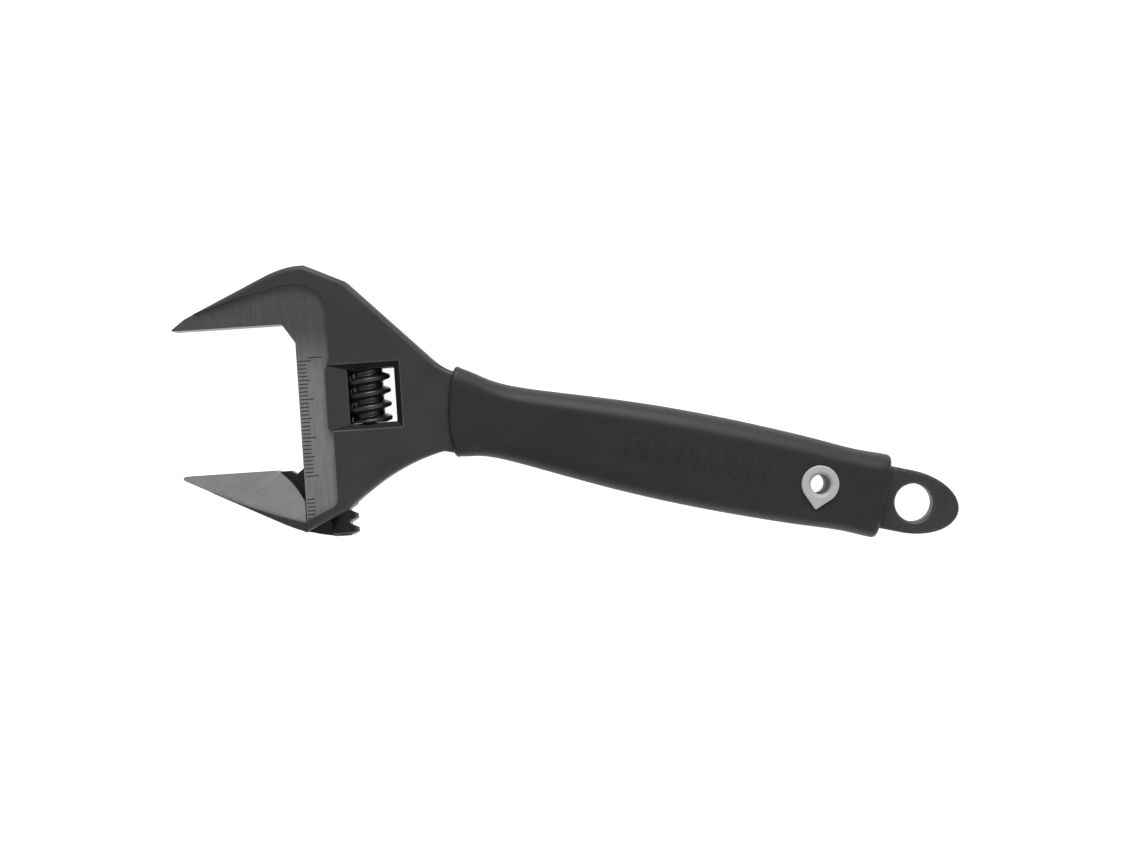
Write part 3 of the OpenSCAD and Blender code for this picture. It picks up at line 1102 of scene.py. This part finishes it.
@dataclass
class MovableJaw:
    """The sliding jaw: ground plate with its rib, thin web and the round slide with its rack."""

    jaws: JawSpace
    rib_half: float = 5.7
    ground_half: float = 4.9
    web_half: float = 2.2
    guide_gap: float = 0.15
    slide_x: float = 9.3
    slide_radius: float = 3.82
    slide_top: float = -23.9
    slide_low: float = -56.2
    chamfer: float = 0.8
    pitch: float = 3.6
    first_groove: float = -24.2
    groove_lean: float = 6.3

    def _back(self) -> list[Point]:
        """The jaw's back edge, from near its tip to the slide."""
        curve = quadratic((-6, -52), (2.5, -56.2), (10.1, -56.2), 14)
        return [(-31.0, -39.15), *curve]

    def _step_line(self) -> list[Point]:
        """Where the ground plate meets the rib."""
        curve = quadratic((-24, -42.75), (-9, -49.5), (1, -52.2), 14)
        return [p for p in curve if p[0] < -self.guide_gap]

    def build(self, finishes: Finishes) -> Piece:
        """Join plate, rib, web and slide.

        Args:
            finishes: The wrench's materials.

        Returns:
            The piece.
        """
        edge = -self.guide_gap
        back = [p for p in self._back() if p[0] < edge]
        throat = quadratic((edge, -46.5), (-3.3, -39.8), (-7.4, -38.0), 12)
        covered = [(-23.5, -43.0), *((x, y + 0.5) for x, y in back if x > -10), (edge, -54.0)]
        plan = [(-31.5, -38.7), (-31.0, -39.15), *covered, *throat, (-31.1, -38.0)]
        jaw = piece_from(prism(plan, -self.ground_half, self.ground_half), "sliding_jaw")
        cut(jaw, self._rib(back), Boolean.UNION)
        cut(jaw, self._web(), Boolean.UNION)
        cut(jaw, self._slide(), Boolean.UNION)
        dress(jaw, [finishes.slide, finishes.ground_jaw, finishes.forged, finishes.edge_wear_and_highlight])
        finish_faces(jaw, self._finish)
        jaw.data.transform(self.jaws.matrix)
        smooth(jaw)
        # The rounded edges take the lighter steel, partly rubbed wear and partly painted highlight.
        soften(jaw, 0.12 * MM, segments=2, edge_wear_and_highlight=3)
        return jaw

    def _rib(self, back: list[Point]) -> Piece:
        """The dark rib along the back.

        Args:
            back: Points of the jaw's back edge.

        Returns:
            The rib.
        """
        line = self._step_line()
        spine = [p for p in reversed(back) if p[0] > -24]
        plan = [*line, (-self.guide_gap, -51.95), (-self.guide_gap, -54.6), *spine]
        return piece_from(prism(plan, -self.rib_half, self.rib_half), "rib")

    def _web(self) -> Piece:
        """The thin web that runs in the frame's slot.

        Returns:
            The web.
        """
        back = [p for p in reversed(self._back()) if 0 < p[0] < self.slide_x - 0.3]
        front = [(-9, -38.3), (-3.55, -38.3), (-2.1, -39.2), (0, -37.6), (9.3, -30.5)]
        plan = [*front, (9.3, -56.19), *back, (-self.guide_gap, -54.58), (-0.6, -53.8), (-9, -46)]
        return piece_from(prism(plan, -self.web_half, self.web_half), "web")

    def _slide(self) -> Piece:
        """The round slide with its rack's grooves.

        Returns:
            The slide.
        """
        bm = bmesh.new()
        length = self.slide_top - self.slide_low
        round_bar(bm, self.slide_radius, length, 72)
        ends = [e for e in bm.edges if abs(e.verts[0].co.z - e.verts[1].co.z) < 1e-6]
        bmesh.ops.bevel(
            bm, geom=ends, offset=self.chamfer, affect="EDGES", segments=1, profile=0.5, material=-1
        )
        middle = (self.slide_top + self.slide_low) / 2
        bm.transform(Matrix.Translation((self.slide_x, middle, 0)) @ ALONG_GUIDE)
        slide = piece_from(bm, "slide")
        cut(slide, self._grooves())
        return slide

    def _grooves(self) -> Piece:
        """All the rack's grooves as one cutter.

        Returns:
            The cutter.
        """
        root, out, slope = 11.1, 14.2, 0.421
        narrow = 0.4
        wide = narrow + (out - root) * slope
        cutter = bmesh.new()
        for n in range(10):
            bm = prism([(root, -narrow), (out, -wide), (out, wide), (root, narrow)], -8, 8)
            lean = Matrix.Rotation(math.radians(-self.groove_lean), 4, "X")
            bm.transform(Matrix.Translation((0, self.first_groove - self.pitch * n, 0)) @ lean)
            absorb(cutter, bm)
        return piece_from(cutter, "groove_cutter")

    def _finish(self, middle: Vector, normal: Vector) -> int:
        """1 for the ground plate, 2 for the forged rib and 0 for the blackened rest.

        Args:
            middle: The face's middle.
            normal: The face's normal.

        Returns:
            The index of the material.
        """
        plate = middle.x < 0 and abs(middle.z) > self.web_half + 0.3
        if plate and abs(middle.z) < self.ground_half + 0.02:
            top = abs(normal.z) > 0.5 or (normal.y > 0.5 and middle.x < -6)
            return 1 if top else 2
        return 2 if plate else 0


# ---------------------------------------------------------------- worm, pin and spring


@dataclass
class WormDrive:
    """The knurled worm, its pin and its end spring, in jaw millimetres."""

    jaws: JawSpace
    axis_x: float = 17.6
    low: float = -27.1
    high: float = -13.1
    pitch: float = 3.6
    crest: float = 6.08
    root: float = 4.2
    first_crest: float = -15.2
    bore: float = 2.05
    seat: float = 3.3
    seat_depth: float = 6.0
    steps: int = 48

    def worm(self, finishes: Finishes) -> Piece:
        """Sweep the thread's profile round the axis, trim its ends and bore it.

        Args:
            finishes: The wrench's materials.

        Returns:
            The worm.
        """
        bm = bmesh.new()
        before, turns = 1.2, 6
        start, turned = self.first_crest + self.pitch * before, 2 * math.pi * before
        half = self.pitch / 2
        profile = [
            (-half, self.root),
            (-1.28, self.root),
            (-1.1, self.root + 0.12),
            (-0.67, self.crest - 0.55),
            (-0.57, self.crest - 0.28),
            (-0.44, self.crest - 0.09),
            (-0.24, self.crest - 0.01),
            (0.0, self.crest),
        ]
        profile += [(-y, r) for y, r in reversed(profile[:-1])]
        spoke = (math.cos(-turned), math.sin(-turned))
        verts = [bm.verts.new((r * spoke[0], start + y, r * spoke[1])) for y, r in profile]
        edges = [bm.edges.new(pair) for pair in zip(verts, verts[1:])]
        bmesh.ops.spin(
            bm,
            geom=verts + edges,
            cent=(0, 0, 0),
            axis=(0, -1, 0),
            dvec=(0, -self.pitch / self.steps, 0),
            angle=2 * math.pi * turns,
            steps=self.steps * turns,
            use_duplicate=False,
        )
        bmesh.ops.remove_doubles(bm, verts=bm.verts, dist=0.004)
        for y, side in ((self.high, 1), (self.low, -1)):
            bmesh.ops.bisect_plane(
                bm,
                geom=bm.verts[:] + bm.edges[:] + bm.faces[:],
                plane_co=(0, y, 0),
                plane_no=(0, side, 0),
                clear_outer=True,
            )
        bmesh.ops.remove_doubles(bm, verts=bm.verts, dist=0.002)
        bmesh.ops.holes_fill(bm, edges=[e for e in bm.edges if e.is_boundary], sides=0)
        bmesh.ops.recalc_face_normals(bm, faces=bm.faces)
        bmesh.ops.translate(bm, verts=bm.verts, vec=(self.axis_x, 0, 0))
        bm.transform(self.jaws.matrix)
        piece = piece_from(bm, "knurled_worm")
        for radius, top in ((self.bore, self.high + 1), (self.seat, self.low + self.seat_depth)):
            cutter = rod("worm_cutter", self.axis_x, self.low - 1, top, radius)
            cutter.data.transform(self.jaws.matrix)
            cut(piece, cutter)
        dress(piece, [finishes.worm])
        smooth(piece, 42)
        soften(piece, 0.12 * MM, segments=2, sharp_degrees=50)
        return piece

    def pin(self, node: Piece, finishes: Finishes) -> Piece:
        """The screwed pin, with its slotted head's edges broken.

        Args:
            node: The CAD node that gives the shape.
            finishes: The wrench's materials.

        Returns:
            The pin.
        """
        piece = piece_from(cad_copy(node), "slotted_pin")
        dress(piece, [finishes.pin])
        smooth(piece)
        soften(piece, 0.15 * MM, segments=3)
        return piece

    def spring(self, finishes: Finishes) -> Piece:
        """A coil of round wire between the worm's seat and the window's lower side.

        Args:
            finishes: The wrench's materials.

        Returns:
            The spring.
        """
        wire, mean, turns, steps = 0.3, 2.7, 5, 28
        low, rise = self.low + wire, self.seat_depth - 2 * wire - 0.2
        bm = bmesh.new()
        made = bmesh.ops.create_circle(bm, cap_ends=False, segments=10, radius=wire)
        bmesh.ops.translate(bm, verts=made["verts"], vec=(mean, low, 0))
        bmesh.ops.spin(
            bm,
            geom=bm.verts[:] + bm.edges[:],
            cent=(0, 0, 0),
            axis=(0, 1, 0),
            dvec=(0, rise / (turns * steps), 0),
            angle=2 * math.pi * turns,
            steps=turns * steps,
            use_duplicate=False,
        )
        bmesh.ops.holes_fill(bm, edges=[e for e in bm.edges if e.is_boundary], sides=0)
        bmesh.ops.recalc_face_normals(bm, faces=bm.faces)
        bmesh.ops.translate(bm, verts=bm.verts, vec=(self.axis_x, 0, 0))
        bm.transform(self.jaws.matrix)
        piece = piece_from(bm, "end_spring")
        dress(piece, [finishes.wire])
        smooth(piece, 60)
        return piece


# ---------------------------------------------------------------- grip and eyelet


@dataclass
class Grip:
    """The soft sleeve over its hard core, in millimetres along the handle."""

    segments: int = 72
    front: float = -122.5
    rear: float = -8.0
    thick: float = 8.0
    eyelet_x: float = -25.5
    tube: float = 3.3
    drop: tuple[float, float] = (5.05, 6.85)
    seat_z: float = 7.0
    rib_count: int = 9
    rib_middle: float = -57.0
    rib_step: float = 4.6
    rib_proud: float = 0.14
    # half width of the outline at places along the handle
    widths: tuple[tuple[float, float], ...] = (
        (-122.5, 11.6), (-118.8, 11.0), (-114.0, 10.0), (-109.0, 9.7), (-102.0, 10.0),
        (-90.0, 10.9), (-78.0, 11.7), (-66.0, 12.15), (-54.0, 12.25), (-42.0, 12.05),
        (-30.0, 11.6), (-18.0, 10.9), (-10.0, 11.1), (-8.0, 11.1),
    )
    # half thickness as a share of the thickest
    depths: tuple[tuple[float, float], ...] = (
        (-122.5, 0.99), (-118.8, 0.97), (-114.0, 0.91), (-109.0, 0.87), (-102.0, 0.88),
        (-90.0, 0.93), (-78.0, 0.97), (-66.0, 0.995), (-54.0, 0.995), (-42.0, 0.985),
        (-30.0, 0.965), (-18.0, 0.95), (-8.0, 0.95),
    )

    def slant(self, x: float, y: float) -> float:
        """Shift along the handle that makes the front edge lean and bulge."""
        t = y / 11.3
        return clamp((-104 - x) / 18) * (-2.4 * t - 1.6 * (1 - t * t) + 0.3)

    def ring(self, bm: Mesh, x: float, inset: float, shift_x: float = 0.0) -> list:
        """One cross-section of the sleeve.

        Args:
            bm: The mesh being built.
            x: Place along the handle that the section's size is read at.
            inset: How far the section is drawn in.
            shift_x: Extra shift of the section along the handle.

        Returns:
            The ring's edges.
        """
        half_w = interpolate(self.widths, x) - inset
        half_t = interpolate(self.depths, x) * self.thick - inset
        lip = ease((-108 - x) / 13)
        power = 3.1 + 1.9 * lip
        crown = 1.08 - 0.07 * lip
        lift = 0.3 * lip
        made = bmesh.ops.create_circle(bm, cap_ends=False, segments=self.segments, radius=1.0)
        for vert in made["verts"]:
            a = math.atan2(vert.co.y, vert.co.x)
            c, s = math.cos(a), math.sin(a)
            y = half_w * math.copysign(abs(c) ** (2 / power), c)
            z = crown * half_t * math.copysign(abs(s) ** (2 / power), s)
            z = math.copysign(self._flatten(abs(z), half_t), z)
            y += lift
            vert.co = (x + shift_x + self.slant(x, y), y, z)
        return list({e for v in made["verts"] for e in v.link_edges})

    @staticmethod
    def _flatten(z: float, limit: float) -> float:
        """Press a section flat at a limit, with a soft crease where the flat begins.

        Args:
            z: Height.
            limit: Height of the flat.

        Returns:
            The pressed height.
        """
        soft = 0.22
        gap = clamp((limit - z) / soft * 0.5 + 0.5)
        return limit * (1 - gap) + z * gap - soft * gap * (1 - gap)

    def sleeve(self, finishes: Finishes) -> Piece:
        """Loft the sleeve, with rounded lips, an opening at each end and the eyelet's seat.

        Args:
            finishes: The wrench's materials.

        Returns:
            The sleeve.
        """
        bm = bmesh.new()
        lip, tail = 0.75, 1.3
        rings = [self.ring(bm, self.front, 3.2, 3.0), self.ring(bm, self.front, 1.5, 2.2)]
        rings.append(self.ring(bm, self.front, 1.3, 0.1))
        for k in range(5):
            a = math.radians(90 * k / 4)
            inset, shift = lip * (1 - math.sin(a)), lip * (1 - math.cos(a))
            rings.append(self.ring(bm, self.front, inset, shift))
        start, stop = self.front + 2 * lip, self.rear - tail
        count = 64
        for k in range(count + 1):
            rings.append(self.ring(bm, start + (stop - start) * k / count, 0.0))
        for k in range(1, 6):
            a = math.radians(90 * k / 5)
            x = stop + tail * math.sin(a)
            rings.append(self.ring(bm, x, tail * (1 - math.cos(a))))
        rings.append(self.tang_ring(bm, self.rear, 8.75, 3.75))
        rings.append(self.tang_ring(bm, self.rear - 3, 8.75, 3.75))
        for first, second in zip(rings, rings[1:]):
            bmesh.ops.bridge_loops(bm, edges=first + second)
        ends = [rings[0], rings[-1]]
        bmesh.ops.bridge_loops(bm, edges=ends[0] + ends[1])
        bmesh.ops.recalc_face_normals(bm, faces=bm.faces)
        bmesh.ops.scale(bm, vec=(MM, MM, MM), verts=bm.verts)
        piece = piece_from(bm, "soft_sleeve")
        self._cut_details(piece)
        dress(piece, [finishes.rubber])
        smooth(piece, 32)
        return piece

    def tang_ring(self, bm: Mesh, x: float, half_w: float, half_t: float) -> list:
        """A rounded rectangle round the tang, where it leaves the sleeve.

        Args:
            bm: The mesh being built.
            x: Place along the handle.
            half_w: Half of the width.
            half_t: Half of the thickness.

        Returns:
            The ring's edges.
        """
        made = bmesh.ops.create_circle(bm, cap_ends=False, segments=self.segments, radius=1.0)
        for vert in made["verts"]:
            a = math.atan2(vert.co.y, vert.co.x)
            c, s = math.cos(a), math.sin(a)
            vert.co = (
                x,
                half_w * math.copysign(abs(c) ** 0.3, c),
                half_t * math.copysign(abs(s) ** 0.3, s),
            )
        return list({e for v in made["verts"] for e in v.link_edges})

    def _cut_details(self, piece: Piece) -> None:
        """Cut the eyelet's hole through the sleeve and its seat into both faces.

        Args:
            piece: The piece.
        """
        bm = bmesh.new()
        round_bar(bm, self.tube, 40, 48)
        bmesh.ops.translate(bm, verts=bm.verts, vec=(self.eyelet_x, 0, 0))
        bmesh.ops.scale(bm, vec=(MM, MM, MM), verts=bm.verts)
        cut(piece, piece_from(bm, "tube_cutter"))
        for side in (1, -1):
            cut(piece, self._drop_cutter(side))

    def _drop_cutter(self, side: int) -> Piece:
        """The eyelet's drop shape, a hair larger, above its seat.

        Args:
            side: 1 for the front face or -1 for the back.

        Returns:
            The cutter.
        """
        bm = bmesh.new()
        radius, tip = self.drop
        made = bmesh.ops.create_circle(bm, cap_ends=True, segments=64, radius=radius)
        lean = math.acos(radius / (tip + 0.5))
        for vert in made["verts"]:
            off = math.atan2(vert.co.x, -vert.co.y)
            if abs(off) < lean:
                reach = radius / math.cos(lean - abs(off))
                vert.co *= min(reach, tip) / radius
        raise_faces(bm, 4)
        bmesh.ops.translate(bm, verts=bm.verts, vec=(self.eyelet_x, 0, self.seat_z))
        bmesh.ops.scale(bm, vec=(MM, MM, side * MM), verts=bm.verts)
        bmesh.ops.recalc_face_normals(bm, faces=bm.faces)
        return piece_from(bm, "seat_cutter")

    def _lozenge(self, length: float, width: float, low: float, high: float, rim: float) -> Mesh:
        """A long pad with round ends and a softened top edge, centred on the origin.

        Args:
            length: Length of the pad.
            width: Width of the pad.
            low: Lower end.
            high: Upper end.
            rim: Rounding of the top edge.

        Returns:
            The pad.
        """
        bm = bmesh.new()
        made = bmesh.ops.create_circle(bm, cap_ends=True, segments=32, radius=width / 2)
        for vert in made["verts"]:
            vert.co.x += math.copysign((length - width) / 2, vert.co.x)
        raise_faces(bm, high - low)
        bmesh.ops.translate(bm, verts=bm.verts, vec=(0, 0, low))
        top = [e for e in bm.edges if all(v.co.z > high - 0.001 for v in e.verts)]
        bmesh.ops.bevel(
            bm, geom=top, offset=rim, affect="EDGES", segments=3, profile=0.5, material=-1
        )
        bmesh.ops.recalc_face_normals(bm, faces=bm.faces)
        return bm

    def ribs(self, finishes: Finishes) -> Piece:
        """A row of low plain ribs on both faces.

        Args:
            finishes: The wrench's materials.

        Returns:
            The ribs.
        """
        row = bmesh.new()
        for side in (1, -1):
            for k in range(self.rib_count):
                x = self.rib_middle + self.rib_step * (k - (self.rib_count - 1) / 2)
                absorb(row, self._rib(side, x))
        piece = piece_from(row, "grip_ribs")
        dress(piece, [finishes.rubber])
        smooth(piece)
        return piece

    def _rib(self, side: int, x: float) -> Mesh:
        """One low slanted rib that follows the face's slope.

        Args:
            side: 1 for the front face or -1 for the back.
            x: Place along the handle.

        Returns:
            The rib.
        """
        reach = 1.0
        low, high = (interpolate(self.depths, x + d) * self.thick for d in (-reach, reach))
        bm = self._lozenge(5.4, 2.3, -0.5, self.rib_proud, 0.12)
        turn = Matrix.Rotation(math.radians(68), 4, "Z")
        slope = Matrix.Rotation(-math.atan2(high - low, 2 * reach), 4, "Y")
        bm.transform(Matrix.Translation((x, 0.2, (low + high) / 2)) @ slope @ turn)
        bmesh.ops.scale(bm, vec=(MM, MM, side * MM), verts=bm.verts)
        bmesh.ops.recalc_face_normals(bm, faces=bm.faces)
        return bm


@dataclass
class LanyardEyelet:
    """The two halves of the drop-shaped eyelet."""

    x: float = -25.5
    bore: float = 2.5

    def _finish(self, middle: Vector, normal: Vector) -> int:
        """1, a dark plastic painted as shade, on the bore's wall, 0 elsewhere."""
        inner = math.hypot(middle.x - self.x * MM, middle.y) < (self.bore + 0.1) * MM
        return 1 if inner and abs(normal.z) < 0.1 else 0

    def build(self, node: Piece, name: str, finishes: Finishes) -> Piece:
        """Round the flange's rim and paint shade on the tube's inside wall.

        Args:
            node: The CAD node that gives the shape.
            name: Name of the new object.
            finishes: The wrench's materials.

        Returns:
            The piece.
        """
        piece = piece_from(cad_copy(node), name)
        dress(piece, [finishes.eyelet, finishes.bore_painted_shade])
        finish_faces(piece, self._finish)
        smooth(piece)
        soften(piece, 0.35 * MM, segments=4)
        return piece


# ---------------------------------------------------------------- scale beside the mouth


@dataclass
class ScaleMarks:
    """Millimetre marks etched beside the guide, in jaw millimetres."""

    jaws: JawSpace
    first: float = -10.0
    last: int = 30
    lower: tuple[float, int] = (-46.0, 6)
    width: float = 0.3
    proud: float = 0.02
    face_z: float = 4.9
    across: tuple[float, float, float] = (2.9, 6.6, -9.2)

    def build(self, finishes: Finishes) -> Piece:
        """Make all marks as one piece.

        Args:
            finishes: The wrench's materials.

        Returns:
            The piece.
        """
        bm = bmesh.new()
        for k in range(self.last + 1):
            length = 3.5 if k % 10 == 0 else 2.8 if k % 5 == 0 else 2.2
            self._mark(bm, 0.3, 0.3 + length, self.first - k)
        for k in range(self.lower[1]):
            self._mark(bm, 0.3, 2.4, self.lower[0] - k)
        self._mark(bm, *self.across)
        bm.transform(self.jaws.matrix)
        piece = piece_from(bm, "scale_marks")
        dress(piece, [finishes.etched])
        return piece

    def _mark(self, bm: Mesh, start: float, end: float, y: float) -> None:
        """One mark across the guide's edge, on the front face.

        Args:
            bm: The mesh being built.
            start: Where it begins.
            end: Where it ends.
            y: Place along the guide.
        """
        made = bmesh.ops.create_cube(bm, size=1.0)
        bmesh.ops.scale(bm, vec=(end - start, self.width, 2 * self.proud), verts=made["verts"])
        bmesh.ops.translate(bm, verts=made["verts"], vec=((start + end) / 2, y, self.face_z))


# ---------------------------------------------------------------- studio


@dataclass
class Studio:
    """Plain pale floor, soft light and a camera square above the wrench."""

    tilt: float = math.radians(11.15)
    aim: Vector = field(default_factory=lambda: Vector((-0.0920, 0.0019, 0.0)))
    height: float = 0.574
    lens: float = 69.0
    floor_z: float = -0.0086

    def build(self) -> None:
        """Make the camera, the floor, the lamps and the surroundings."""
        scene = bpy.context.scene
        scene.view_settings.view_transform = "Standard"
        lens = bpy.data.cameras.new("camera")
        lens.lens = self.lens
        lens.sensor_width = 36.0
        camera = bpy.data.objects.new("camera", lens)
        camera.location = self.aim + Vector((0, 0, self.height))
        camera.rotation_euler = (0, 0, self.tilt)
        scene.collection.objects.link(camera)
        scene.camera = camera
        self._floor()
        self._lamp("key", (-0.12, 0.75, 0.5), 0.5, 7.0)
        self._lamp("fill", (0.5, -0.5, 0.6), 0.8, 2.5)
        self._world()

    def _floor(self) -> None:
        """A pale floor just under the wrench."""
        bm = bmesh.new()
        bmesh.ops.create_grid(bm, x_segments=1, y_segments=1, size=3.0)
        bmesh.ops.translate(bm, verts=bm.verts, vec=(self.aim.x, self.aim.y, self.floor_z))
        floor = piece_from(bm, "floor")
        shader = Shader("pale_floor")
        shader.set(Base_Color=(0.5, 0.5, 0.5, 1), Roughness=0.9, Specular_IOR_Level=0.0)
        shader.set(Emission_Color=(1, 1, 1, 1), Emission_Strength=0.95)
        dress(floor, [shader.material])

    def _lamp(self, name: str, spot: tuple[float, float, float], size: float, power: float) -> None:
        """A square soft box that faces the wrench's middle.

        Args:
            name: Name of the lamp.
            spot: Where it stands.
            size: Side of the soft box.
            power: Power in watts.
        """
        light = bpy.data.lights.new(name, "AREA")
        light.energy = power
        light.size = size
        lamp = bpy.data.objects.new(name, light)
        lamp.location = Vector(spot) + self.aim
        lamp.rotation_euler = (self.aim - lamp.location).to_track_quat("-Z", "Y").to_euler()
        bpy.context.scene.collection.objects.link(lamp)

    def _world(self) -> None:
        """Even pale surroundings."""
        world = bpy.data.worlds.new("studio")
        world.use_nodes = True
        world.node_tree.nodes["Background"].inputs["Color"].default_value = (0.9, 0.9, 0.9, 1)
        world.node_tree.nodes["Background"].inputs["Strength"].default_value = 0.4
        bpy.context.scene.world = world


# ---------------------------------------------------------------- the wrench


def main() -> None:
    """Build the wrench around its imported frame."""
    logging.basicConfig(level=logging.INFO, format="%(name)s: %(message)s")
    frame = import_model()
    nodes = frame["nodes"]
    slide = next(joint for joint in frame["joints"] if joint["type"] == "slide")
    jaws = JawSpace(Vector(slide["axis"]))
    Studio().build()
    finishes = Finishes(jaws)
    settle(ForgedFrame(jaws).build(finishes), Body.FRAME, "frame")
    settle(MovableJaw(jaws).build(finishes), Body.JAW, "movable_jaw")
    drive = WormDrive(jaws)
    settle(drive.worm(finishes), Body.WORM, "worm")
    settle(drive.pin(nodes["worm_pin"], finishes), Body.FRAME, "worm_pin")
    settle(drive.spring(finishes), Body.FRAME, "worm_spring")
    dress(nodes["grip_liner"], [finishes.liner])
    grip = Grip()
    settle(grip.sleeve(finishes), Body.FRAME, "grip_sleeve")
    settle(grip.ribs(finishes), Body.FRAME)
    eyelet = LanyardEyelet()
    for name in ("eyelet_front", "eyelet_back"):
        settle(eyelet.build(nodes[name], f"drop_{name}", finishes), Body.FRAME, name)
    settle(ScaleMarks(jaws).build(finishes), Body.FRAME)


if __name__ == "__main__":
    main()
